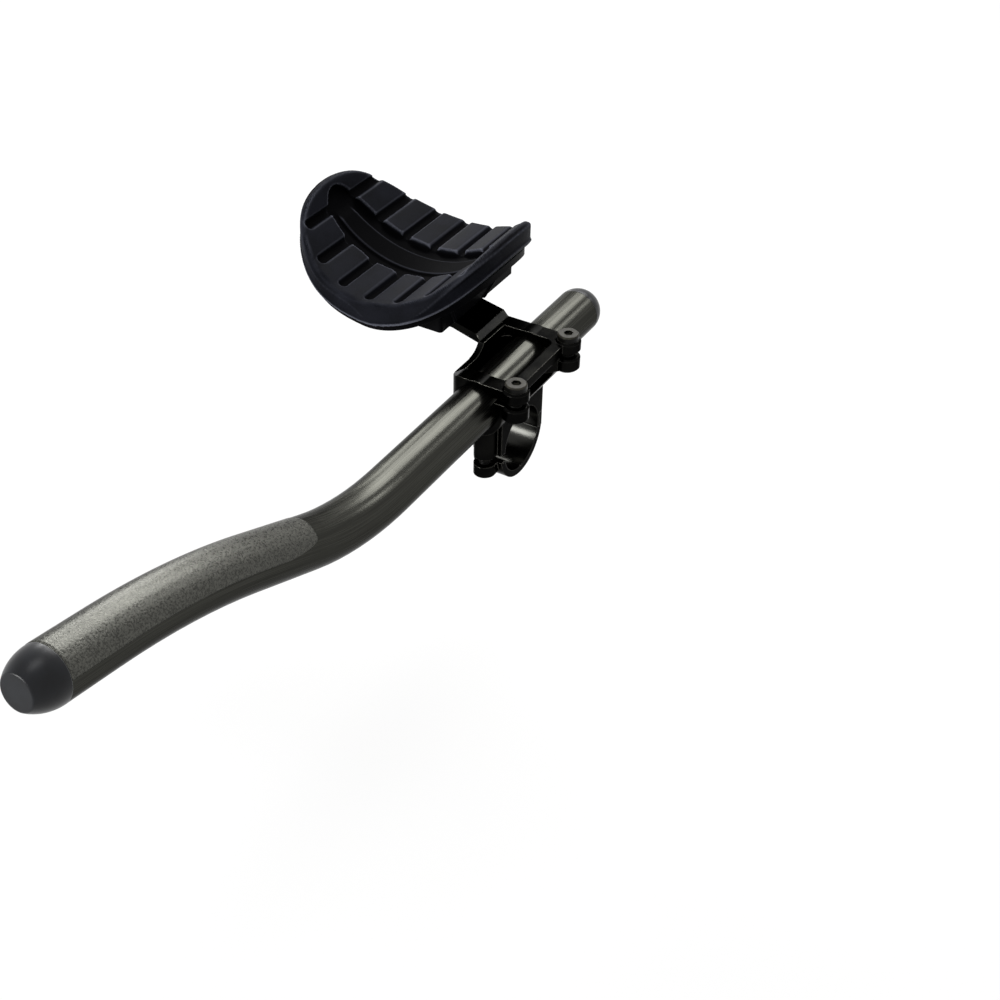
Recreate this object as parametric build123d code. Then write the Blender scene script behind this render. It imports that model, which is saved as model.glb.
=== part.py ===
from build123d import *
import os
from math import copysign, cos, hypot, pi, radians, sin, sqrt, tan

# Frame: origin in the middle of the handlebar bore, +X forward along the tube's straight part,
# +Y inboard along the handlebar, +Z up. Millimetres.

# Handlebar clamp
bar_diameter = 31.8
bar_clamp_width = 15.0
bar_clamp_wall = 3.3
jaw_drop = 3.2
jaw_gap = 4.2
jaw_ear_radius = 5.2
jaw_ear_height = 5.6
jaw_bolt_wall = 5.6
jaw_bolt_diameter = 5.0
jaw_bolt_grip = 10.0
jaw_bolt_head = 8.0
jaw_bolt_head_height = 3.0
jaw_bolt_key = 3.0
hook_thickness = 1.6
hook_height = 4.4

# Extension tube, from its rear end to its front end
tube_diameter = 22.2
tube_wall = 2.0
tube_shift = -1.7
rear_run = 69.4
front_run = 98.4
rise_radius = 149.6
rise_angle = 22.74
grip_run = 40.0
level_radius = 336.9
level_angle = 12.91
nose_run = 25.3

# Tube end plugs
front_plug_length = 12.4
front_plug_end_radius = 6.8
rear_plug_lip = 0.9
plug_stem_length = 14.0
plug_edge = 1.0

# Pinch clamp round the tube
saddle_web = 3.0
cap_thickness = 2.6
outer_wall = 4.9
outer_rim = 3.0
outer_rim_height = 9.0
cap_slope_run = 7.0
cap_slope_drop = 5.0
cap_round = 6.0
band_width = 8.0
corner_radius = 11.0
side_bar_width = 5.2
side_bar_shift = 2.2
window_corner = 4.5
saddle_lip_drop = 5.0
pinch_bolt_spacing = 48.8
pinch_bolt_wall = 7.2
pinch_bolt_diameter = 6.0
pinch_bolt_head = 10.0
pinch_bolt_head_height = 2.9
pinch_bolt_key = 4.0
ear_radius = 6.1
ear_boss = 0.8
ear_edge = 0.9
upper_ear_height = 5.9
pinch_slot = 2.6
lower_ear_height = 7.0
ear_gusset = 9.0

# Armrest arm
arm_height = 16.0
arm_thickness = 4.0
arm_root_front = 2.5
arm_root_depth = 10.0
arm_root_rise = 9.0
arm_root_ledge = 2.4
arm_root_bevel = 2.9
arm_root_web = 9.0
arm_haunch = 4.0
arm_front = 8.0
arm_rear = 33.0
arm_neck = 34.0
arm_tip = 88.0
arm_tip_radius = 8.0

# Armrest: everything is wrapped round one trough axis parallel to X
armrest_reach = 64.4
armrest_setback = 26.6
trough_radius = 55.4
pad_thickness = 9.2
pad_length = 98.4
pad_squareness = 2.37
pad_crest_wrap = 120.0
pad_crest_side = 3.42
pad_crest_inset = 2.4
pad_crest_lean = 0.45
pad_crest_edge = 2.4
block_rows = 7
block_pitch = 15.7
groove_width = 4.8
groove_floor_width = 3.4
groove_depth = 2.4
groove_stop = 3.0
channel_width = 29.5
channel_wrap = 111.0
channel_depth = 3.2
cup_wall = 2.7
cup_inset = 2.4
pedestal_floor = 1.8
pedestal_length = 66.4
pedestal_width = 65.0
pedestal_setback = 1.7
pedestal_corner = 1.6
pedestal_wall = 3.0
pedestal_rib = 0.7
pedestal_rib_width = 1.6
pedestal_rib_rise = 8.8
pedestal_rib_inset = 7.3
cup_bolt_spacing = 35.6
cup_bolt_diameter = 5.0
cup_bolt_head = 9.5
cup_bolt_head_height = 2.8
cup_bolt_key = 3.0
cup_seat_height = 3.0
fastener_width = 14.0
fastener_wrap = 54.0
fastener_thickness = 1.5
fastener_inset = 19.2

# Fits
slip = 0.1
seat_gap = 0.3
bolt_play = 0.25
screw_bevel = 0.6
screw_short = 0.9

bar_radius = bar_diameter / 2
ring_radius = bar_radius + bar_clamp_wall
jaw_bolt_x = bar_radius + jaw_bolt_wall
jaw_ear_bottom = -jaw_drop - jaw_ear_height
jaw_bolt_seat = jaw_ear_bottom + jaw_bolt_head_height + seat_gap
boss_bottom = jaw_gap - jaw_drop
tube_radius = tube_diameter / 2
tube_height = bar_radius + saddle_web + tube_radius
cap_top = tube_radius + cap_thickness
wall_side = tube_radius + outer_wall
wall_inside = wall_side - outer_rim
bolt_side = tube_radius + pinch_bolt_wall
bolt_x = pinch_bolt_spacing / 2
bar_inside = bolt_side - side_bar_shift - side_bar_width / 2
clamp_length = pinch_bolt_spacing + band_width
window_length = pinch_bolt_spacing - band_width
arm_root_rear = clamp_length / 2
ear_top = cap_top + ear_boss
slot_top = ear_top - upper_ear_height
slot_bottom = slot_top - pinch_slot
lower_ear_bottom = slot_bottom - lower_ear_height
pad_width = 2 * (trough_radius * sin(radians(pad_crest_wrap / 2)) + pad_crest_side)
pad_back_radius = trough_radius + pad_thickness
cup_inner_radius = pad_back_radius + seat_gap
cup_outer_radius = cup_inner_radius + cup_wall
trough_height = arm_height + pedestal_floor + cup_outer_radius
cup_seat = arm_height + cup_seat_height
at_tube = Pos(0, tube_shift, tube_height)
at_trough = at_tube * Pos(-armrest_setback, -armrest_reach, trough_height)


def span_box(x, y, z):
    middle = [(low + high) / 2 for low, high in (x, y, z)]
    return Pos(*middle) * Box(x[1] - x[0], y[1] - y[0], z[1] - z[0])


def upright(radius, x, y, low, high):
    return Pos(x, y, low) * Cylinder(radius, high - low, align=(Align.CENTER, Align.CENTER, Align.MIN))


def along_y(radius, length):
    return Rot(90, 0, 0) * Cylinder(radius, length)


def along_x(radius, length):
    return Rot(0, 90, 0) * Cylinder(radius, length)


def socket_screw(diameter, head_diameter, head_height, length, key):
    """Screw along -Z with its head's seat at the origin and a hexagonal socket in the head."""
    head = upright(head_diameter / 2, 0, 0, 0, head_height)
    head = chamfer(head.edges().group_by(Axis.Z)[-1], screw_bevel)
    socket = Pos(0, 0, head_height) * RegularPolygon(key / sqrt(3), 6)
    return head - extrude(socket, -head_height / 2) + upright(diameter / 2, 0, 0, -length, 0)


def tube_path():
    rear = Line((-rear_run, 0), (front_run, 0))
    rise = JernArc(rear @ 1, rear % 1, rise_radius, rise_angle)
    grip = PolarLine(rise @ 1, grip_run, direction=rise % 1)
    level = JernArc(grip @ 1, grip % 1, level_radius, -level_angle)
    nose = PolarLine(level @ 1, nose_run, direction=level % 1)
    return at_tube * (Plane.XZ * Wire([rear, rise, grip, level, nose]))


def extension_tube():
    path = tube_path()
    ring = Circle(tube_radius) - Circle(tube_radius - tube_wall)
    return sweep(Plane(path @ 0, z_dir=path % 0) * ring, path)


def plug_stem():
    radius = tube_radius - tube_wall - slip
    return Cylinder(radius, plug_stem_length, align=(Align.CENTER, Align.CENTER, Align.MAX))


def front_plug():
    side = TangentArc((tube_radius, 0), (front_plug_end_radius, front_plug_length), tangent=(0, 1))
    outline = side + Polyline(side @ 1, (0, front_plug_length), (0, 0), side @ 0)
    section = make_face(outline)
    section = fillet(section.vertices().group_by(Axis.Y)[-1].sort_by(Axis.X)[-1], plug_edge)
    nose = revolve(Plane.XZ * section, Axis.Z)
    path = tube_path()
    return Plane(path @ 1, z_dir=path % 1).location * (nose + plug_stem())


def rear_plug():
    dome = CenterArc((0, rear_plug_lip), tube_radius, 0, 90)
    outline = dome + Polyline(dome @ 1, (0, 0), (tube_radius, 0), dome @ 0)
    cap = revolve(Plane.XZ * make_face(outline), Axis.Z)
    path = tube_path()
    return Plane(path @ 0, z_dir=-(path % 0)).location * (cap + plug_stem())


def clamp_ring():
    """C-shaped section round the tube, open on the inboard side, over the whole clamp length."""
    saddle = Circle(tube_radius + saddle_web)
    shoulder = Polygon(
        (0, cap_top),
        (-wall_side + cap_slope_run, cap_top),
        (-wall_side, cap_top - cap_slope_drop),
        (-wall_side, -saddle_lip_drop),
        (0, -tube_radius),
        align=None,
    )
    crown = shoulder.vertices().group_by(Axis.Y)[-1].sort_by(Axis.X)[0]
    shoulder = fillet(crown, cap_round)
    upper = Pos(0, slot_top) * Rectangle(bar_inside + side_bar_width, cap_top - slot_top, align=Align.MIN)
    lower = Pos(0, lower_ear_bottom) * Rectangle(bolt_side, lower_ear_height, align=Align.MIN)
    slot = Pos(0, slot_bottom) * Rectangle(bolt_side + ear_radius, pinch_slot, align=Align.MIN)
    section = saddle + shoulder + upper + lower - slot - Circle(tube_radius + slip)
    ring = extrude(Plane.YZ * section, clamp_length / 2, both=True)
    plan = Pos(0, -wall_side) * Rectangle(clamp_length, 4 * wall_side, align=(Align.CENTER, Align.MIN))
    plan = fillet(plan.vertices().group_by(Axis.Y)[0].sort_by(Axis.X)[-1], corner_radius)
    return ring & extrude(plan, 2 * wall_side, both=True)


def clamp_window():
    """Opening from above between the two bands, with rounded corners beside the side bar."""
    width = bar_inside + wall_inside
    plan = Pos(0, bar_inside - width / 2) * RectangleRounded(window_length, width, window_corner)
    return Pos(0, 0, -saddle_lip_drop) * extrude(plan, cap_top + 2 * saddle_lip_drop)


def window_clearance():
    """Room beside the window: under the side bar, and above the outboard wall's rim."""
    half = window_length / 2
    side = bolt_side + wall_side
    under = span_box((-half, half), (0, side), (-saddle_lip_drop, slot_top))
    return [under, span_box((-half, half), (-side, 0), (outer_rim_height, 2 * cap_top))]


def arm_plate():
    outline = Polyline(
        (-arm_root_rear, -wall_side),
        (-arm_rear, -arm_neck),
        (-arm_rear, -arm_tip),
        (-arm_front, -arm_tip),
        (-arm_front, -arm_neck),
        (-arm_root_front, -wall_side),
        close=True,
    )
    plate = Pos(0, 0, arm_height) * extrude(make_face(outline), -arm_thickness)
    tip = plate.edges().filter_by(Axis.Z).group_by(Axis.Y)[0]
    return fillet(tip, arm_tip_radius)


def arm_root():
    """Wall that carries the arm; it rises from the rim in a hollow curve."""
    low = arm_height - arm_root_depth
    front = arm_root_rise - arm_root_front
    rise = TangentArc((front, outer_rim_height), (-arm_root_front, arm_height), tangent=(-1, 0))
    back = (-arm_root_rear, arm_height)
    outline = rise + Polyline(rise @ 1, back, (-arm_root_rear, low), (front, low), rise @ 0)
    return Pos(0, -wall_inside, 0) * extrude(Plane.XZ * make_face(outline), outer_rim)


def arm_root_fill():
    """Flat top between the arm's root and the crown of the rear band."""
    crown = arm_root_web - wall_inside
    section = Polygon(
        (-wall_side, cap_top),
        (-wall_side, cap_top - cap_slope_drop),
        (crown, cap_top - cap_thickness / 2),
        (crown, cap_top),
        align=None,
    )
    return Pos(-clamp_length / 2, 0, 0) * extrude(Plane.YZ * section, band_width)


def arm_root_step():
    """Cut that lowers the arm's root to the top of the ring, with a bevel up to the arm behind a ledge."""
    foot = -wall_inside - arm_root_ledge
    crest = foot - arm_root_bevel
    section = Polygon(
        (-tube_radius, cap_top),
        (foot, cap_top),
        (crest, arm_height),
        (crest, 2 * arm_height),
        (-tube_radius, 2 * arm_height),
        align=None,
    )
    return extrude(Plane.YZ * section, clamp_length, both=True)


def arm_haunch_web():
    under = arm_height - arm_thickness
    section = Polygon(
        (-wall_side, under), (-wall_side - arm_haunch, under), (-wall_side, under - arm_haunch), align=None
    )
    web = extrude(Plane.YZ * section, arm_rear)
    return Pos(-arm_root_rear, 0, 0) * web & span_box(
        (-arm_root_rear, -arm_front), (-arm_neck, 0), (0, arm_height)
    )


def clamp_base():
    """Upper part of the handlebar clamp with the boss for the jaw bolt, up to the tube's saddle."""
    far = 2 * ring_radius
    width = (-bar_clamp_width / 2, bar_clamp_width / 2)
    ear = (-jaw_ear_radius, jaw_ear_radius)
    base = span_box((-ring_radius, ring_radius), width, (0, tube_height))
    base += along_y(ring_radius, bar_clamp_width)
    base += upright(jaw_ear_radius, jaw_bolt_x, 0, boss_bottom, tube_height)
    base += span_box((bar_radius, jaw_bolt_x), ear, (boss_bottom, tube_height))
    base -= span_box((-far, 0), (-far, far), (-far, seat_gap - jaw_drop))
    base -= span_box((0, far), (-far, far), (-far, boss_bottom))
    base -= upright(jaw_bolt_diameter / 2 + slip, jaw_bolt_x, 0, 0, boss_bottom + jaw_bolt_grip)
    return base - jaw_hook(seat_gap) - along_y(bar_radius, far)


def jaw_hook(play):
    """Tongue at the jaw's rear end that stands in a notch of the base; play widens it to that notch."""
    inner = -ring_radius + hook_thickness
    half = bar_clamp_width / 2 + play
    height = (-jaw_drop - slip, hook_height + play)
    tongue = span_box((-ring_radius - play, inner + play), (-half, half), height)
    bead = along_y(hook_thickness / 2 + play, 2 * half)
    return tongue + Pos(inner, 0, hook_height - hook_thickness / 2) * bead


def bar_clamp_jaw():
    far = 2 * ring_radius
    ear = (-jaw_ear_radius, jaw_ear_radius)
    jaw = along_y(ring_radius, bar_clamp_width) & span_box((-far, far), (-far, far), (-far, -jaw_drop))
    jaw += upright(jaw_ear_radius, jaw_bolt_x, 0, jaw_ear_bottom, -jaw_drop)
    jaw += span_box((bar_radius - bar_clamp_wall, jaw_bolt_x), ear, (jaw_ear_bottom, -jaw_drop))
    jaw += jaw_hook(0)
    jaw -= upright(jaw_bolt_diameter / 2 + bolt_play, jaw_bolt_x, 0, jaw_ear_bottom, 0)
    jaw -= upright(jaw_bolt_head / 2 + bolt_play, jaw_bolt_x, 0, -far, jaw_bolt_seat)
    return jaw - along_y(bar_radius, far)


def pinch_ear(x, low, high):
    ear = upright(ear_radius, x, bolt_side, low, high)
    return chamfer(ear.edges().filter_by(GeomType.CIRCLE), ear_edge)


def pinch_ears():
    ears = []
    for x in (-bolt_x, bolt_x):
        ears.append(pinch_ear(x, slot_top, ear_top))
        ears.append(pinch_ear(x, lower_ear_bottom, slot_bottom))
    return ears


def ear_gussets():
    """Webs from the lower ears along the tube, towards the middle of the window."""
    near = window_length / 2
    far = near - ear_gusset
    run_out = sqrt(tube_radius ** 2 - slot_bottom ** 2)
    plan = Polygon((near, 0), (near, bolt_side), (far, run_out), (far, 0), align=None)
    web = Pos(0, 0, lower_ear_bottom) * extrude(plan, lower_ear_height, dir=(0, 0, 1))
    return [web, mirror(web, Plane.YZ)]


def pinch_holes():
    holes = []
    radius = pinch_bolt_diameter / 2
    for x in (-bolt_x, bolt_x):
        holes.append(upright(radius + bolt_play, x, bolt_side, slot_bottom, 2 * ear_top))
        holes.append(upright(radius + slip, x, bolt_side, -ear_top, slot_bottom))
    return holes


def cup_bolt_places():
    x = -(arm_front + arm_rear) / 2
    return [(x, -armrest_reach + side * cup_bolt_spacing / 2) for side in (1, -1)]


def clamp_body():
    ring = clamp_ring() - clamp_window() - window_clearance()
    ring = ring + arm_root() + arm_root_fill() + arm_plate() + arm_haunch_web() - arm_root_step()
    ring = ring + pinch_ears() + ear_gussets() - pinch_holes()
    for x, y in cup_bolt_places():
        ring -= upright(cup_bolt_diameter / 2 + slip, x, y, 0, 2 * arm_height)
    body = at_tube * ring + clamp_base()
    return body - at_tube * along_x(tube_radius + slip, 2 * clamp_length)


def oval(half_length, half_width):
    """Closed outline a little squarer than an ellipse."""
    point_count = 12
    points = []
    for k in range(point_count):
        angle = 2 * pi * k / point_count
        reach = [copysign(abs(part) ** (2 / pad_squareness), part) for part in (cos(angle), sin(angle))]
        points.append((half_length * reach[0], half_width * reach[1]))
    return make_face(Spline(*points, periodic=True))


def trough_layer(inner, outer):
    length = 2 * pad_length
    return along_x(outer, length) - along_x(inner, length)


def oval_prism(inset):
    """Upright walls of the armrest's plan, from below the trough up to its axis."""
    plan = oval(pad_length / 2 - inset, pad_width / 2 - inset)
    return extrude(plan, -2 * cup_outer_radius)


def radial_wedge(half_length, wrap, lean, shape):
    """Solid of the lines that leave the trough axis inside an outline; lean spreads them along the axis."""
    def level(depth):
        length = half_length + lean * (depth - trough_radius)
        return Pos(0, 0, -depth) * shape(length, depth * tan(radians(wrap / 2)))
    return loft([level(trough_radius / 3), level(2 * trough_radius)], ruled=True)


def crest_end(angle):
    """Where the crest ends the trough's surface, on the line at one angle from its lowest line."""
    depth = trough_radius * cos(radians(angle))
    share = abs(tan(radians(angle)) / tan(radians(pad_crest_wrap / 2)))
    length = pad_length / 2 - pad_crest_inset + pad_crest_lean * (depth - trough_radius)
    return length * max(0.0, 1 - share ** pad_squareness) ** (1 / pad_squareness)


def pad_groove(angle):
    """Groove along the trough, open at the rear and rounded off short of the front crest."""
    flare = groove_width - groove_floor_width / 2
    floor = groove_floor_width / 2
    low, high = -trough_radius - groove_depth, groove_depth - trough_radius
    section = Polygon((-floor, low), (floor, low), (flare, high), (-flare, high), align=None)
    front = crest_end(angle) - groove_stop - flare
    slot = Pos(front, 0, 0) * extrude(Plane.YZ * section, 2 * pad_length, dir=(-1, 0, 0))
    end = Cone(floor, flare, high - low, align=(Align.CENTER, Align.CENTER, Align.MIN))
    return Rot(angle, 0, 0) * (slot + Pos(front, 0, low) * end)


def pad_grooves():
    first = -(block_rows - 1) / 2
    return [pad_groove((first + k) * block_pitch) for k in range(block_rows)]


def pad_channel():
    layer = trough_layer(trough_radius - 2 * channel_depth, trough_radius + channel_depth)
    return layer & radial_wedge(channel_width / 2, channel_wrap, 0, Ellipse)


def pad_fastener(end, play):
    back = cup_inner_radius - slip
    x = end * (pad_length / 2 - fastener_inset)
    wide = fastener_width / 2 + play
    edge = cup_outer_radius * sin(radians(fastener_wrap / 2)) + play
    strip = trough_layer(back - fastener_thickness - play, back + play)
    return strip & span_box((x - wide, x + wide), (-edge, edge), (-2 * cup_outer_radius, 0))


def edges_at(solid, radius):
    """Edges that lie on one radius round the trough axis."""
    def on_radius(edge):
        middle = edge @ 0.5
        return abs(hypot(middle.Y, middle.Z) - radius) < slip
    return solid.edges().filter_by(on_radius)


def armrest_pad():
    pad = trough_layer(trough_radius, pad_back_radius) & oval_prism(0)
    pad &= radial_wedge(pad_length / 2 - pad_crest_inset, pad_crest_wrap, pad_crest_lean, oval)
    pad = fillet(edges_at(pad, trough_radius), pad_crest_edge)
    fasteners = [pad_fastener(end, slip) for end in (1, -1)]
    return pad - [*pad_grooves(), pad_channel(), *fasteners]


def pedestal_ribs(bottom):
    """Slanting ribs on the pedestal's sides, from the arm's edges up towards the pedestal's ends."""
    ribs = []
    wide = pedestal_width + 2 * pedestal_rib
    for end, edge in ((-1, arm_rear), (1, arm_front)):
        start = armrest_setback - edge
        stop = end * (pedestal_length / 2 - pedestal_rib_inset) - pedestal_setback
        line = Polygon(
            (start, bottom),
            (start + end * pedestal_rib_width, bottom),
            (stop, bottom + pedestal_rib_rise),
            (stop - end * pedestal_rib_width, bottom + pedestal_rib_rise),
            align=None,
        )
        ribs.append(extrude(Plane.XZ * line, wide / 2, both=True))
    return ribs


def pedestal():
    """Block under the cup that stands on the arm, hollow in front of the arm and behind it."""
    bottom = -cup_outer_radius - pedestal_floor
    at_floor = Pos(-pedestal_setback, 0, bottom)
    plan = RectangleRounded(pedestal_length, pedestal_width, pedestal_corner)
    block = at_floor * extrude(plan, cup_outer_radius) + pedestal_ribs(bottom)
    inside = Rectangle(pedestal_length - 2 * pedestal_wall, pedestal_width - 2 * pedestal_wall)
    hollow = at_floor * extrude(inside, cup_outer_radius)
    seat = (armrest_setback - arm_rear - pedestal_wall, armrest_setback - arm_front + pedestal_wall)
    hollow -= span_box(seat, (-pedestal_width, pedestal_width), (bottom, 0))
    return block - (hollow - along_x(cup_outer_radius, 2 * pad_length))


def armrest_cup():
    cup = along_x(cup_outer_radius, 2 * pad_length) & oval_prism(cup_inset)
    cup = cup + pedestal() - along_x(cup_inner_radius, 2 * pad_length)
    cup = Pos(-armrest_setback, -armrest_reach, trough_height) * cup
    for x, y in cup_bolt_places():
        cup -= upright(cup_bolt_diameter / 2 + bolt_play, x, y, 0, trough_height)
        cup -= upright(cup_bolt_head / 2 + bolt_play, x, y, cup_seat, trough_height)
    return at_tube * cup


def pinch_bolts():
    length = ear_top - lower_ear_bottom - screw_short
    screw = socket_screw(pinch_bolt_diameter, pinch_bolt_head, pinch_bolt_head_height, length, pinch_bolt_key)
    return [at_tube * Pos(x, bolt_side, ear_top) * screw for x in (bolt_x, -bolt_x)]


def jaw_bolt():
    length = boss_bottom + jaw_bolt_grip - jaw_bolt_seat - screw_short
    screw = socket_screw(jaw_bolt_diameter, jaw_bolt_head, jaw_bolt_head_height, length, jaw_bolt_key)
    return Pos(jaw_bolt_x, 0, jaw_bolt_seat) * Rot(180, 0, 0) * screw


def cup_bolts():
    length = cup_seat_height + arm_thickness - screw_short
    screw = socket_screw(cup_bolt_diameter, cup_bolt_head, cup_bolt_head_height, length, cup_bolt_key)
    return [at_tube * Pos(x, y, cup_seat) * screw for x, y in cup_bolt_places()]


def build():
    front_pinch, rear_pinch = pinch_bolts()
    inner_bolt, outer_bolt = cup_bolts()
    return {
        "extension_tube": extension_tube(),
        "front_plug": front_plug(),
        "rear_plug": rear_plug(),
        "clamp_body": clamp_body(),
        "front_pinch_bolt": front_pinch,
        "rear_pinch_bolt": rear_pinch,
        "bar_clamp_jaw": bar_clamp_jaw(),
        "jaw_bolt": jaw_bolt(),
        "armrest_cup": armrest_cup(),
        "inner_cup_bolt": inner_bolt,
        "outer_cup_bolt": outer_bolt,
        "front_pad_fastener": at_trough * pad_fastener(1, 0),
        "rear_pad_fastener": at_trough * pad_fastener(-1, 0),
        "armrest_pad": at_trough * armrest_pad(),
    }


os.makedirs("parts", exist_ok=True)
for name, solid in build().items():
    print(name, round(solid.volume, 1), len(solid.solids()), solid.is_valid)
    export_step(solid, f"parts/{name}.step")
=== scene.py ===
from math import atan2, cos, degrees, floor, hypot, pi, radians, sin, tan

import bmesh
import bpy
from mathutils import Matrix, Vector


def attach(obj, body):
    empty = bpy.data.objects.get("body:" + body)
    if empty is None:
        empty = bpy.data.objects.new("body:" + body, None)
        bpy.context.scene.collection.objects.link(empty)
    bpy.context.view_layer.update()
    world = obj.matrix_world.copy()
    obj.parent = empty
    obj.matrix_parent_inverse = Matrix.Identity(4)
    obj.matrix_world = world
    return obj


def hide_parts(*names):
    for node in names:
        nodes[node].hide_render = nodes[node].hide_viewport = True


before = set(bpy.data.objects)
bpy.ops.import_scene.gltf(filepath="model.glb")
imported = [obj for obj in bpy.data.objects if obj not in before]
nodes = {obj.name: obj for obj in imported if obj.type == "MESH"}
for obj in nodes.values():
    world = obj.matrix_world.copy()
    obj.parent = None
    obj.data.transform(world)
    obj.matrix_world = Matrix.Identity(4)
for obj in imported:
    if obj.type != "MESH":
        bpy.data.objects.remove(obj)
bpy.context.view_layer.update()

scene = bpy.context.scene
print("frame:", len(nodes), "nodes")


def paint(code):  # screen colour such as "3e3d36" to a linear colour
    parts = [int(code[k:k + 2], 16) / 255 for k in (0, 2, 4)]
    return tuple(c / 12.92 if c < 0.04045 else ((c + 0.055) / 1.055) ** 2.4 for c in parts) + (1.0,)


def grey(value):
    return (value, value, value, 1.0)


class Wire:  # one output socket; sums written with it add Math nodes
    def __init__(self, tree, socket=None):
        self.tree = tree
        self.socket = socket

    def node(self, kind, settings={}, sockets={}, out=0):
        made = self.tree.nodes.new("ShaderNode" + kind)
        for key, value in settings.items():
            setattr(made, key, value)
        for key, value in sockets.items():
            if isinstance(value, Wire):
                self.tree.links.new(value.socket, made.inputs[key])
            else:
                made.inputs[key].default_value = value
        return Wire(self.tree, made.outputs[out]) if made.outputs else made

    def also(self, out):  # another output of the same node
        return Wire(self.tree, self.socket.node.outputs[out])

    def maths(self, operation, *values):
        return self.node("Math", {"operation": operation}, dict(enumerate(values)))

    def __add__(self, other):
        return self.maths("ADD", self, other)

    def __radd__(self, other):
        return self.maths("ADD", other, self)

    def __sub__(self, other):
        return self.maths("SUBTRACT", self, other)

    def __rsub__(self, other):
        return self.maths("SUBTRACT", other, self)

    def __mul__(self, other):
        return self.maths("MULTIPLY", self, other)

    def __rmul__(self, other):
        return self.maths("MULTIPLY", other, self)

    def __pow__(self, other):
        return self.maths("POWER", self, other)

    def within(self, low, high):
        return self.maths("MINIMUM", self.maths("MAXIMUM", self, low), high)

    def ramp(self, low, high):  # 0 at low to 1 at high, with soft ends
        return self.node("MapRange", {"interpolation_type": "SMOOTHSTEP"},
                         {"Value": self, "From Min": low, "From Max": high})

    def spread(self, low, high):  # 0 to 1 becomes low to high
        return self * (high - low) + low

    def blend(self, dark, light):  # mixes two colours by this value
        return self.node("Mix", {"data_type": "RGBA"}, {0: self, 6: dark, 7: light}, 2)

    def toned(self, look):  # between a finish's dark and light colours
        return self.blend(paint(look["dark"]), paint(look["light"]))


def newFinish(name):
    made = bpy.data.materials.new(name)
    made.use_nodes = True
    made.node_tree.nodes.clear()
    return made, Wire(made.node_tree)


def closeFinish(wire, sockets):
    shader = wire.node("BsdfPrincipled", {}, sockets)
    wire.node("OutputMaterial", {}, {"Surface": shader})


def grain(wire, place, scale, detail=2.0, rough=0.5):
    return wire.node("TexNoise", {}, {"Vector": place, "Scale": scale, "Detail": detail, "Roughness": rough})


def pits(wire, place, scale):
    return wire.node("TexVoronoi", {}, {"Vector": place, "Scale": scale}, "Distance")


def scaled(place, factors):
    return place.node("VectorMath", {"operation": "MULTIPLY"}, {0: place, 1: factors})


def axesOf(place):
    split = place.node("SeparateXYZ", {}, {0: place})
    return split, split.also(1), split.also(2)


def roundedEdge(wire, radius):  # softened normal, and how far it leaves the true one
    soft = wire.node("Bevel", {"samples": 6}, {"Radius": radius})
    true = wire.node("NewGeometry", out="True Normal")
    match = wire.node("VectorMath", {"operation": "DOT_PRODUCT"}, {0: soft, 1: true}, "Value")
    return soft, (1.0 - match).within(0.0, 1.0)


def bumped(wire, height, bump, normal=None):  # bump is a strength and a depth in metres
    sockets = {"Strength": bump[0], "Distance": bump[1], "Height": height}
    if normal:
        sockets["Normal"] = normal
    return wire.node("Bump", {}, sockets)


tubeRun = {  # centre line of the extension tube, metres and degrees
    "side": -0.0017, "height": 0.030, "rear": -0.0694, "straight": 0.0984, "riseRadius": 0.1496,
    "riseAngle": 22.74, "grip": 0.040, "levelRadius": 0.3369, "levelAngle": 12.91, "radius": 0.0111,
}
carbonLook = {
    "dark": "2d2d2a", "light": "3c3c38", "wornEdgeAndHighlight": "5c5b55", "roughness": (0.22, 0.31), "grazing": 0.5,
    "fibre": (26.0, 2600.0, 2600.0), "tow": (9.0, 420.0, 420.0), "cloud": 60.0, "streak": (0.36, 0.64),
    "edge": 0.0004, "edgeWearAndHighlight": (0.05, 0.30), "bump": (0.4, 0.000012),
}


def straightened(wire):  # Object coordinates with the tube's bends taken out
    run = tubeRun
    x, y, z = axesOf(wire.node("TexCoord", out="Object"))
    rise, slope = radians(run["riseAngle"]), radians(run["riseAngle"] - run["levelAngle"])
    bend, far = run["riseRadius"], run["levelRadius"]
    gripStart = run["straight"] + bend * sin(rise)
    levelStart = gripStart + run["grip"] * cos(rise)
    levelRun = far * (sin(rise) - sin(slope))
    inBend = (x - run["straight"]).within(0.0, bend * sin(rise))
    first = bend - (bend ** 2 - inBend * inBend) ** 0.5
    onGrip = (x - gripStart).within(0.0, run["grip"] * cos(rise)) * tan(rise)
    inLevel = (x - levelStart).within(0.0, levelRun) - far * sin(rise)
    second = (far ** 2 - inLevel * inLevel) ** 0.5 - far * cos(rise)
    onNose = (x - (levelStart + levelRun)).within(0.0, 1.0) * tan(slope)
    centre = first + onGrip + second + onNose + run["height"]
    return wire.node("CombineXYZ", {}, {0: x, 1: y - run["side"], 2: z - centre})


def carbonFinish():
    look = carbonLook
    made, wire = newFinish("satinCarbon")
    place = straightened(wire)
    fibre = grain(wire, scaled(place, look["fibre"]), 1.0, 3.0, 0.6)
    tow = grain(wire, scaled(place, look["tow"]), 1.0)
    cloud = grain(wire, place, look["cloud"])
    streak = (fibre * 0.6 + tow * 0.4).ramp(*look["streak"])
    shade = (streak * 0.8 + cloud * 0.2).within(0.0, 1.0).toned(look)
    soft, edge = roundedEdge(wire, look["edge"])
    closeFinish(wire, {
        # edge colour: wear plus painted highlight, the rounded edges are lightened towards a pale colour
        "Base Color": edge.ramp(*look["edgeWearAndHighlight"]).blend(shade, paint(look["wornEdgeAndHighlight"])),
        "Roughness": (cloud * 0.5 + streak * 0.5).spread(*look["roughness"]),
        "Normal": bumped(wire, streak, look["bump"], soft),
        "Metallic": 1.0, "Specular Tint": grey(look["grazing"]),
    })
    return made


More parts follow.
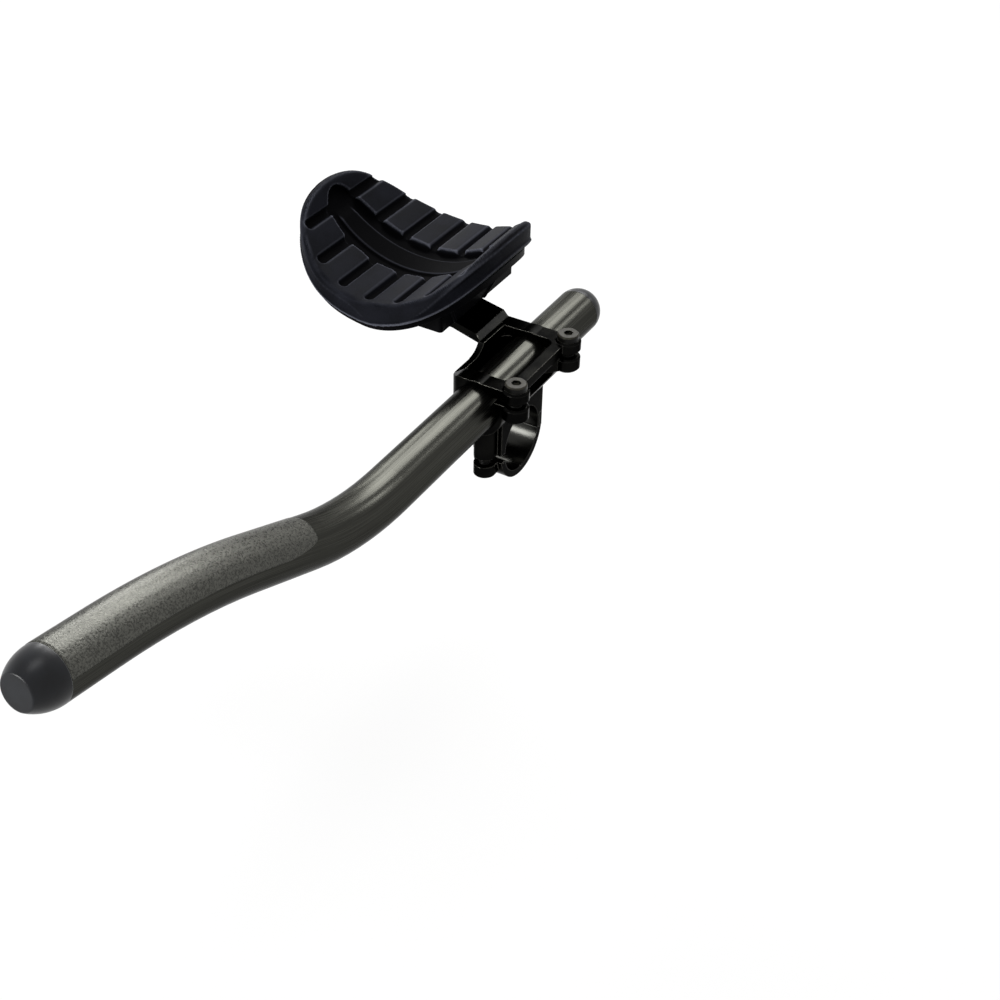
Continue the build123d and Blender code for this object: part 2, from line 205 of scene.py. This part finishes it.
gripLook = {
    "dark": "353532", "light": "575752", "roughness": (0.26, 0.38), "metal": 0.85, "grazing": 0.5,
    "grit": 1300.0, "dust": 3000.0, "patch": 140.0, "speck": (0.40, 0.62), "bump": (0.35, 0.00010),
}


def gripFinish():
    look = gripLook
    made, wire = newFinish("grittyGrip")
    place = wire.node("TexCoord", out="Object")
    grit = grain(wire, place, look["grit"], 2.0, 0.6)
    dust = grain(wire, place, look["dust"], 1.0)
    patch = grain(wire, place, look["patch"])
    speck = (grit * 0.7 + dust * 0.3).ramp(*look["speck"])
    closeFinish(wire, {
        "Base Color": (speck * 0.8 + patch * 0.25).within(0.0, 1.0).toned(look),
        "Roughness": speck.spread(*look["roughness"]),
        "Normal": bumped(wire, speck, look["bump"]),
        "Metallic": look["metal"], "Specular Tint": grey(look["grazing"]),
    })
    return made


rubberLook = {
    "dark": "0b0c0f", "light": "15171b", "wornEdgeAndHighlight": "6a6c72", "roughness": (0.26, 0.38), "specular": 0.22,
    "fine": 3000.0, "cloud": 120.0, "tone": (0.3, 0.7), "edge": 0.0005, "edgeWearAndHighlight": (0.06, 0.35),
    "bump": (0.25, 0.00004),
}


def rubberFinish():
    look = rubberLook
    made, wire = newFinish("plugRubber")
    place = wire.node("TexCoord", out="Object")
    fine = grain(wire, place, look["fine"])
    cloud = grain(wire, place, look["cloud"], 3.0)
    soft, edge = roundedEdge(wire, look["edge"])
    shade = cloud.ramp(*look["tone"]).toned(look)
    closeFinish(wire, {
        # edge colour: wear plus painted highlight, the rim's rounded edge is lightened like a lit ring
        "Base Color": edge.ramp(*look["edgeWearAndHighlight"]).blend(shade, paint(look["wornEdgeAndHighlight"])),
        "Roughness": cloud.spread(*look["roughness"]),
        "Normal": bumped(wire, fine, look["bump"], soft),
        "Specular IOR Level": look["specular"],
    })
    return made


anodisedLook = {
    "dark": "080808", "light": "0f0f0e", "wornEdgeAndHighlight": "5a5954", "roughness": (0.17, 0.25), "grazing": 0.5,
    "bore": "2d2d2b", "boreRadius": 0.0162, "boreSkin": 0.0002, "boreRoughness": 0.20,
    "blast": 4200.0, "cloud": 90.0, "tone": (0.32, 0.70), "scuff": 700.0, "scuffed": (0.26, 0.60),
    "edge": 0.0006, "edgeWearAndHighlight": (0.04, 0.34), "bump": (0.3, 0.00004),
}


def anodisedFinish():
    look = anodisedLook
    made, wire = newFinish("blackAnodised")
    place = wire.node("TexCoord", out="Object")
    x, _, z = axesOf(place)
    blast = grain(wire, place, look["blast"])
    cloud = grain(wire, place, look["cloud"], 4.0)
    scuff = grain(wire, place, look["scuff"], 3.0, 0.7)
    soft, edge = roundedEdge(wire, look["edge"])
    shade = cloud.ramp(*look["tone"]).toned(look)
    # edge wear plus painted highlight: rounded edges lightened, partly broken up by scuff noise
    edgeWearAndHighlight = edge.ramp(*look["edgeWearAndHighlight"]) * (scuff.ramp(*look["scuffed"]) * 0.6 + 0.4)
    rim = look["boreRadius"]
    bore = 1.0 - (x * x + z * z).ramp((rim - look["boreSkin"]) ** 2, rim ** 2)  # turned face round the handlebar
    skin = (edgeWearAndHighlight * 0.8).blend(shade, paint(look["wornEdgeAndHighlight"]))
    rough = cloud.spread(*look["roughness"])
    closeFinish(wire, {
        "Base Color": bore.blend(skin, paint(look["bore"])),
        "Roughness": rough * (1.0 - bore) + bore * look["boreRoughness"],
        "Normal": bumped(wire, blast, look["bump"], soft),
        "Metallic": 1.0, "Specular Tint": grey(look["grazing"]),
    })
    return made


steelLook = {
    "dark": "24221d", "light": "34322b", "wornEdgeAndHighlight": "6b685c", "roughness": (0.30, 0.42), "specular": 0.10,
    # side is a painted shade colour for the heads' turned sides
    "side": "070706", "crown": (0.2, 0.7), "lathe": 2600.0, "cloud": 420.0, "tone": (0.3, 0.7),
    "edge": 0.0003, "edgeWearAndHighlight": (0.05, 0.35), "bare": (0.05, 0.4), "bump": (0.3, 0.00003),
    "slots": ((0.0360, 0.0386), (-0.0032, 0.0010)), "pitch": 0.0008, "thread": (0.8, 0.00012),
}


def steelFinish():
    look = steelLook
    made, wire = newFinish("boltSteel")
    place = wire.node("TexCoord", out="Object")
    z = axesOf(place)[2]
    lathe = grain(wire, place, look["lathe"])
    cloud = grain(wire, place, look["cloud"], 3.0)
    soft, edge = roundedEdge(wire, look["edge"])
    shade = cloud.ramp(*look["tone"]).toned(look)
    facing = axesOf(wire.node("NewGeometry", out="True Normal"))[2]
    crown = facing.maths("ABSOLUTE", facing).ramp(*look["crown"])  # painted shade: the turned sides get a near-black colour as if in shadow, the flat faces keep the steel's tone
    shank = 0.0
    for under, over in look["slots"]:  # thread shows only where the shank crosses a gap
        shank = shank + z.maths("GREATER_THAN", z, under) * z.maths("LESS_THAN", z, over)
    turn = z * (2 * pi / look["pitch"])
    thread = turn.maths("SINE", turn) * shank
    turned = bumped(wire, lathe, look["bump"], soft)
    closeFinish(wire, {
        # edge colour: wear plus painted highlight on the heads' rounded edges
        "Base Color": edge.ramp(*look["edgeWearAndHighlight"]).blend(crown.blend(paint(look["side"]), shade), paint(look["wornEdgeAndHighlight"])),
        "Roughness": cloud.spread(*look["roughness"]),
        "Normal": bumped(wire, thread, look["thread"], turned),
        "Metallic": edge.ramp(*look["bare"]) * 0.3 + 0.1, "Specular IOR Level": look["specular"],
    })
    return made


cupLook = {
    "dark": "020203", "light": "070709", "wornEdgeAndHighlight": "2c2d33", "roughness": (0.42, 0.54), "specular": 0.025,
    "spark": 1700.0, "cloud": 75.0, "tone": (0.3, 0.7), "edge": 0.0006, "edgeWearAndHighlight": (0.05, 0.35),
    "bump": (0.3, 0.00005),
}


def cupFinish():
    look = cupLook
    made, wire = newFinish("cupPlastic")
    place = wire.node("TexCoord", out="Object")
    spark = pits(wire, place, look["spark"])
    cloud = grain(wire, place, look["cloud"], 3.0)
    soft, edge = roundedEdge(wire, look["edge"])
    shade = cloud.ramp(*look["tone"]).toned(look)
    closeFinish(wire, {
        # edge colour: wear plus painted highlight on the cup's rounded edges
        "Base Color": edge.ramp(*look["edgeWearAndHighlight"]).blend(shade, paint(look["wornEdgeAndHighlight"])),
        "Roughness": cloud.spread(*look["roughness"]),
        "Normal": bumped(wire, spark, look["bump"], soft),
        "Specular IOR Level": look["specular"],
    })
    return made


foamLook = {
    "dark": "0c0d11", "light": "17181e", "wornEdgeAndHighlight": "5c5e68", "roughness": (0.50, 0.62), "specular": 0.018,
    # sunkShade is a painted shade colour, near black, for the grooves and the channel
    "sunkShade": "020203", "sunkRough": 0.25, "cells": 1500.0, "skin": 2400.0, "cloud": 60.0,
    "tone": (0.34, 0.66), "ridgeWearAndHighlight": (0.505, 0.56), "bump": (0.30, 0.00008),
}


def foamFinish():
    look = foamLook
    made, wire = newFinish("mouldedFoam")
    place = wire.node("TexCoord", out="Object")
    cells = pits(wire, place, look["cells"])
    skin = grain(wire, place, look["skin"])
    cloud = grain(wire, place, look["cloud"], 4.0)
    ridgeWearAndHighlight = wire.node("NewGeometry", out="Pointiness")
    sunkShade = wire.node("Attribute", {"attribute_name": "sunkShade"}, {}, "Fac")  # 1 in the grooves and the channel, which get a painted shade colour and more roughness
    shade = (cloud * 0.7 + skin * 0.3).ramp(*look["tone"]).toned(look)
    # painted shade: grooves and channel darkened where shade would fall
    withSunkShade = sunkShade.blend(shade, paint(look["sunkShade"]))
    closeFinish(wire, {
        # painted highlight with wear: convex ridges lightened towards a pale edge colour
        "Base Color": (ridgeWearAndHighlight.ramp(*look["ridgeWearAndHighlight"]) * 0.8).blend(withSunkShade, paint(look["wornEdgeAndHighlight"])),
        "Roughness": cloud.spread(*look["roughness"]) + sunkShade * look["sunkRough"],
        "Normal": bumped(wire, cells * 0.6 + skin * 0.4, look["bump"]),
        "Specular IOR Level": look["specular"],
    })
    return made


loopLook = {
    "dark": "08080a", "light": "2a2a2e", "roughness": (0.85, 0.95), "specular": 0.1,
    "tuft": 1400.0, "fuzz": 3200.0, "bump": (0.8, 0.0002),
}


def loopFinish():
    look = loopLook
    made, wire = newFinish("hookLoop")
    place = wire.node("TexCoord", out="Object")
    tuft = pits(wire, place, look["tuft"])
    fuzz = grain(wire, place, look["fuzz"], 3.0, 0.7)
    gap = (tuft * 0.6 + fuzz * 0.5).within(0.0, 1.0)
    closeFinish(wire, {
        "Base Color": gap.blend(paint(look["light"]), paint(look["dark"])),
        "Roughness": fuzz.spread(*look["roughness"]),
        "Normal": bumped(wire, fuzz - tuft, look["bump"]),
        "Specular IOR Level": look["specular"],
    })
    return made


finishes = {
    "carbon_tube": carbonFinish(),
    "plug_rubber": rubberFinish(),
    "black_aluminium": anodisedFinish(),
    "bolt_steel": steelFinish(),
    "cup_plastic": cupFinish(),
    "pad_foam": foamFinish(),
    "hook_loop": loopFinish(),
}
for piece in nodes.values():
    for k, given in enumerate(piece.data.materials):
        piece.material_slots[k].link = "OBJECT"
        piece.material_slots[k].material = finishes[given.name.split(".")[0]]
print("finishes:", len(finishes))


def newPiece(name, mesh, finish):
    mesh.materials.clear()
    mesh.materials.append(finish)
    mesh.polygons.foreach_set("use_smooth", [True] * len(mesh.polygons))
    made = bpy.data.objects.new(name, mesh)
    scene.collection.objects.link(made)
    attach(made, "root")
    return made


def eased(value, low, high):  # 0 at low to 1 at high, with soft ends
    t = min(1.0, max(0.0, (value - low) / (high - low)))
    return t * t * (3 - 2 * t)


padShape = {  # metres, and degrees round the trough's axis
    "axis": (-0.0266, -0.0661, 0.1154), "top": 0.0554, "back": 0.0646,
    "voxel": 0.00062, "weld": 1e-6, "smoothing": 2, "smoothShare": 0.5,
    "crestLength": 0.0468, "crestLean": 0.45, "crestWrap": 60.0, "crestFade": 0.0025, "squareness": 2.37,
    "pitch": 15.7, "dome": 0.00035, "domeHalf": 0.34, "domeSkin": 0.0006,
    "grooveDepth": 0.0024, "grooveLip": 0.0003,
    "channelHalf": 0.01475, "channelWrap": 55.5, "channelDepth": 0.0032, "channelFade": 0.001,
    "islandRise": 0.0013, "islandSide": (0.42, 0.58), "islandEnd": (40.0, 46.0),
    "stretch": 0.0020, "stretchSpan": (22.0, 56.0),
    "bead": 0.0006, "beadHeight": 0.0020, "beadLean": (0.35, 0.8),
}


def crestEnd(angle):  # where the crest ends the trough's surface, from the middle of the pad
    shape = padShape
    length = shape["crestLength"] + shape["crestLean"] * shape["top"] * (cos(angle) - 1)
    share = min(1.0, abs(tan(angle)) / tan(radians(shape["crestWrap"])))
    return length * (1 - share ** shape["squareness"]) ** (1 / shape["squareness"])


def channelEnd(angle):  # half the channel's width
    share = min(1.0, abs(tan(angle)) / tan(radians(padShape["channelWrap"])))
    return padShape["channelHalf"] * (1 - share * share) ** 0.5


def evenSkin(node):  # copy of a CAD piece with an even mesh all over
    draft = bpy.data.objects.new("draft", node.data.copy())
    scene.collection.objects.link(draft)
    welded = bmesh.new()
    welded.from_mesh(draft.data)
    bmesh.ops.remove_doubles(welded, verts=welded.verts, dist=padShape["weld"])
    welded.to_mesh(draft.data)
    welded.free()
    remesh = draft.modifiers.new("evenSkin", "REMESH")
    remesh.mode = "VOXEL"
    remesh.voxel_size = padShape["voxel"]
    graph = bpy.context.evaluated_depsgraph_get()
    skin = bpy.data.meshes.new_from_object(draft.evaluated_get(graph))
    bpy.data.objects.remove(draft)
    return skin


def blockCrown(turn):  # domed across each block, level at the grooves
    shape = padShape
    across = turn / shape["pitch"] - floor(turn / shape["pitch"]) - 0.5
    return shape["dome"] * max(0.0, 1 - (across / shape["domeHalf"]) ** 2)


def channelIsland(x, angle):  # lens-shaped island along the channel
    shape = padShape
    reach = channelEnd(angle) + 1e-6  # never nothing
    side = 1 - eased(abs(x) / reach, *shape["islandSide"])
    return shape["islandRise"] * side * (1 - eased(abs(degrees(angle)), *shape["islandEnd"]))


def forearmPad():
    shape = padShape
    skin = evenSkin(nodes["armrest_pad"])
    skin.name = "forearmPad"
    pad = bmesh.new()
    pad.from_mesh(skin)
    for _ in range(shape["smoothing"]):
        bmesh.ops.smooth_vert(pad, verts=pad.verts, factor=shape["smoothShare"],
                              use_axis_x=True, use_axis_y=True, use_axis_z=True)
    pad.normal_update()
    sunkShade = pad.verts.layers.float.new("sunkShade")
    axis = Vector(shape["axis"])
    for spot in pad.verts:
        off = spot.co - axis
        radius = hypot(off.y, off.z)
        angle = atan2(off.y, -off.z)
        depth = radius - shape["top"]
        inside = eased(crestEnd(angle) - abs(off.x), 0.0, shape["crestFade"])
        trough = 1 - eased(depth, shape["channelDepth"], shape["channelDepth"] + shape["channelFade"])
        # grooves and channel marked for the painted shade in the foam's colour
        spot[sunkShade] = inside * trough * eased(depth, shape["grooveLip"], shape["grooveDepth"])
        lift = 0.0
        if depth < shape["domeSkin"]:
            lift = inside * blockCrown(degrees(angle))
        elif inside * trough > 0 and depth > shape["grooveDepth"] + shape["grooveLip"]:
            lift = channelIsland(off.x, angle)
        spot.co -= Vector((0, off.y, off.z)) * (lift / radius)
        drawn = shape["stretch"] * eased(-degrees(angle), *shape["stretchSpan"])
        spot.co -= Vector((0, cos(angle), sin(angle))) * drawn  # outboard end drawn out along the cup
        foot = shape["back"] - radius
        if 0 < foot < shape["beadHeight"]:  # bead along the wall's foot
            flat = Vector((spot.normal.x, spot.normal.y, 0))
            swell = shape["bead"] * sin(pi * foot / shape["beadHeight"]) ** 2
            spot.co += flat.normalized() * (swell * eased(flat.length, *shape["beadLean"]))
    pad.to_mesh(skin)
    pad.free()
    made = newPiece("forearmPad", skin, finishes["pad_foam"])
    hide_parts("armrest_pad")
    print("forearm pad:", len(skin.polygons), "faces")


gripZone = {  # textured skin on the front of the tube; places along the tube are measured from its rear end
    "start": 0.234, "end": 0.3681, "inboard": 78.0, "outboard": -112.0, "lift": 0.00014, "cornerFrom": 45.0,
    "corner": 0.020, "sweepFrom": -42.0, "sweep": 0.00052, "along": 230, "around": 64, "wall": 0.0005,
}


def tubeCentre(run):  # centre line point and heading at a length from the rear end
    spec = tubeRun
    x, z = spec["rear"], spec["height"]
    rise, level = radians(spec["riseAngle"]), radians(spec["levelAngle"])
    part = min(run, spec["straight"] - spec["rear"])
    x, run = x + part, run - part
    part = min(run, spec["riseRadius"] * rise)
    heading = part / spec["riseRadius"]
    x += spec["riseRadius"] * sin(heading)
    z += spec["riseRadius"] * (1 - cos(heading))
    run -= part
    part = min(run, spec["grip"])
    x, z, run = x + part * cos(heading), z + part * sin(heading), run - part
    part = min(run, spec["levelRadius"] * level)
    turned = heading - part / spec["levelRadius"]
    x += spec["levelRadius"] * (sin(heading) - sin(turned))
    z += spec["levelRadius"] * (cos(turned) - cos(heading))
    run -= part
    return Vector((x + run * cos(turned), spec["side"], z + run * sin(turned))), turned


def tubePoint(run, angle, radius):
    middle, heading = tubeCentre(run)
    up = Vector((-sin(heading), 0, cos(heading)))
    return middle + radius * (cos(angle) * up + sin(angle) * Vector((0, 1, 0)))


def gripSkin():
    zone = gripZone
    sheet = bmesh.new()
    bmesh.ops.create_grid(sheet, x_segments=zone["along"], y_segments=zone["around"], size=0.5)
    hem = {spot for edge in sheet.edges if edge.is_boundary for spot in edge.verts}
    for spot in sheet.verts:
        u, w = spot.co.x + 0.5, spot.co.y + 0.5
        angle = zone["outboard"] + (zone["inboard"] - zone["outboard"]) * w
        corner = max(0.0, (angle - zone["cornerFrom"]) / (zone["inboard"] - zone["cornerFrom"]))
        start = zone["start"] + zone["corner"] * corner ** 3
        start += zone["sweep"] * max(0.0, zone["sweepFrom"] - angle)
        run = start + (zone["end"] - start) * u
        lift = 0.0 if spot in hem else zone["lift"]  # the hem lies on the tube
        spot.co = tubePoint(run, radians(angle), tubeRun["radius"] + lift)
    bmesh.ops.recalc_face_normals(sheet, faces=sheet.faces)
    outer = max(sheet.faces, key=lambda face: face.calc_center_median().z)
    if outer.normal.z < 0:
        bmesh.ops.reverse_faces(sheet, faces=sheet.faces)
    mesh = bpy.data.meshes.new("gripSkin")
    sheet.to_mesh(mesh)
    sheet.free()
    made = newPiece("gripSkin", mesh, gripFinish())
    wall = made.modifiers.new("wall", "SOLIDIFY")
    wall.thickness, wall.offset = zone["wall"], -1.0
    print("grip skin:", len(mesh.polygons), "faces")


forearmPad()
gripSkin()

studio = {
    "floorHeight": -0.10, "floorSize": 12.0, "floor": "f4f4f3", "fade": (0.5, 1.6), "shadowShare": 0.12,
    "ambient": 0.30,
}


def whiteRays(wire):  # rays that show the plain white surroundings
    ray = wire.node("LightPath", out="Is Camera Ray")
    return (ray + ray.also("Is Glossy Ray") + ray.also("Is Transmission Ray")).within(0.0, 1.0)


def studioWorld():
    made = bpy.data.worlds.new("studio")
    made.use_nodes = True
    made.node_tree.nodes.clear()
    wire = Wire(made.node_tree)
    soft = wire.node("Background", {}, {"Strength": studio["ambient"]})
    plain = wire.node("Background", {}, {"Strength": 1.0, "Color": grey(1.0)})
    mixed = wire.node("MixShader", {}, {0: whiteRays(wire), 1: soft, 2: plain})
    wire.node("OutputWorld", {}, {"Surface": mixed})
    scene.world = made


def studioFloor():
    made, wire = newFinish("paleFloor")
    x, y, _ = axesOf(wire.node("TexCoord", out="Object"))
    far = ((x * x + y * y) ** 0.5).ramp(*studio["fade"])  # the shadow's patch fades into plain white
    white = whiteRays(wire) * far.spread(1 - studio["shadowShare"], 1.0)
    matt = wire.node("BsdfDiffuse", {}, {"Color": paint(studio["floor"])})
    glow = wire.node("Emission", {}, {"Color": grey(1.0), "Strength": 1.0})
    mixed = wire.node("MixShader", {}, {0: white, 1: matt, 2: glow})
    below = wire.node("NewGeometry", out="Backfacing")
    clear = wire.node("BsdfTransparent")
    seen = wire.node("MixShader", {}, {0: below, 1: mixed, 2: clear})  # open from below
    wire.node("OutputMaterial", {}, {"Surface": seen})
    plane = bmesh.new()
    bmesh.ops.create_grid(plane, x_segments=1, y_segments=1, size=studio["floorSize"] / 2)
    bmesh.ops.translate(plane, verts=plane.verts, vec=(0, 0, studio["floorHeight"]))
    mesh = bpy.data.meshes.new("floor")
    plane.to_mesh(mesh)
    plane.free()
    mesh.materials.append(made)
    ground = bpy.data.objects.new("floor", mesh)
    scene.collection.objects.link(ground)


lampsAim = (0.08, -0.03, 0.05)
lamps = {  # direction from the part, distance, size across and along, power
    "keySoftbox": ((-0.714, -0.19, 0.674), 1.3, 0.80, 0.44, 13.5),
    "sideSoftbox": ((-0.66, -0.68, 0.34), 1.3, 0.35, 0.55, 9.0),
    "fillSoftbox": ((-0.776, 0.395, 0.493), 1.37, 0.18, 0.18, 1.7),
    "frontSoftbox": ((0.88, -0.37, 0.26), 1.3, 0.50, 0.35, 14.0),
    "topSoftbox": ((0.05, -0.03, 1.0), 1.3, 0.50, 0.50, 3.0),
}


def studioLamps():
    middle = Vector(lampsAim)
    for name, (way, far, wide, tall, power) in lamps.items():
        lamp = bpy.data.lights.new(name, "AREA")
        lamp.shape, lamp.size, lamp.size_y, lamp.energy = "RECTANGLE", wide, tall, power
        made = bpy.data.objects.new(name, lamp)
        scene.collection.objects.link(made)
        made.location = middle + Vector(way).normalized() * far
        made.rotation_euler = (middle - made.location).to_track_quat("-Z", "Y").to_euler()


view = {  # the photograph's camera
    "lens": 56.776, "sensor": 36.0, "clip": (0.01, 50.0), "place": (0.5314, 0.2883, 0.4248),
    "right": (-0.4961, 0.8680, 0.0228), "down": (0.5201, 0.3181, -0.7927), "ahead": (-0.6953, -0.3814, -0.6092),
}


def studioCamera():
    lens = bpy.data.cameras.new("camera")
    lens.lens, lens.sensor_width = view["lens"], view["sensor"]
    lens.clip_start, lens.clip_end = view["clip"]
    made = bpy.data.objects.new("camera", lens)
    scene.collection.objects.link(made)
    turn = Matrix([view["right"], [-c for c in view["down"]], [-c for c in view["ahead"]]]).transposed()
    made.matrix_world = Matrix.Translation(view["place"]) @ turn.to_4x4()
    scene.camera = made


studioWorld()
studioFloor()
studioLamps()
studioCamera()
scene.view_settings.view_transform = "Standard"
print("studio: floor,", len(lamps), "lamps, camera")
